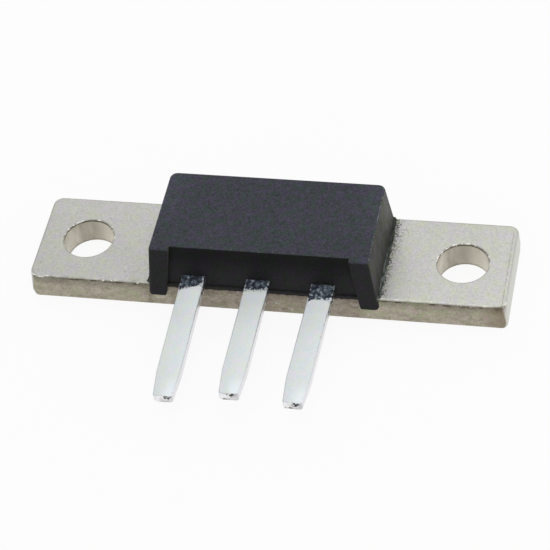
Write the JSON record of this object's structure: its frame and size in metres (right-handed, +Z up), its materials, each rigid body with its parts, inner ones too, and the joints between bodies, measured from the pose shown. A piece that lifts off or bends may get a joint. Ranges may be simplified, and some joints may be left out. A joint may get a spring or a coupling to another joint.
{
  "type": "rectifier diode array",
  "caption": "Flat power package: metal base plate with end mounting holes, a black moulded body on its middle and flat tinned leads from one side.",
  "frame": {"origin": "centre of the base plate's seating face, midway between the two mounting holes", "axes": "+X along the base plate, +Z up out of the seating face through the mounting holes, leads towards -Y"},
  "size_m": [0.038, 0.0206, 0.0061],
  "materials": {
    "nickel_plate": "satin nickel plating on copper, faintly mottled",
    "moulding_compound": "matte moulded epoxy",
    "tinned_lead": "bright solder-dipped tin on copper",
    "silicon": "metallised silicon",
    "solder": "dull solder"
  },
  "bodies": {
    "root": {"base_plate": "nickel_plate", "moulded_body": "moulding_compound", "left_anode_lead": "tinned_lead", "cathode_lead": "tinned_lead", "right_anode_lead": "tinned_lead", "left_diode_die": "silicon", "right_diode_die": "silicon", "left_die_attach_solder": "solder", "right_die_attach_solder": "solder", "left_lead_solder": "solder", "right_lead_solder": "solder", "cathode_lead_solder": "solder"}
  },
  "joints": []
}
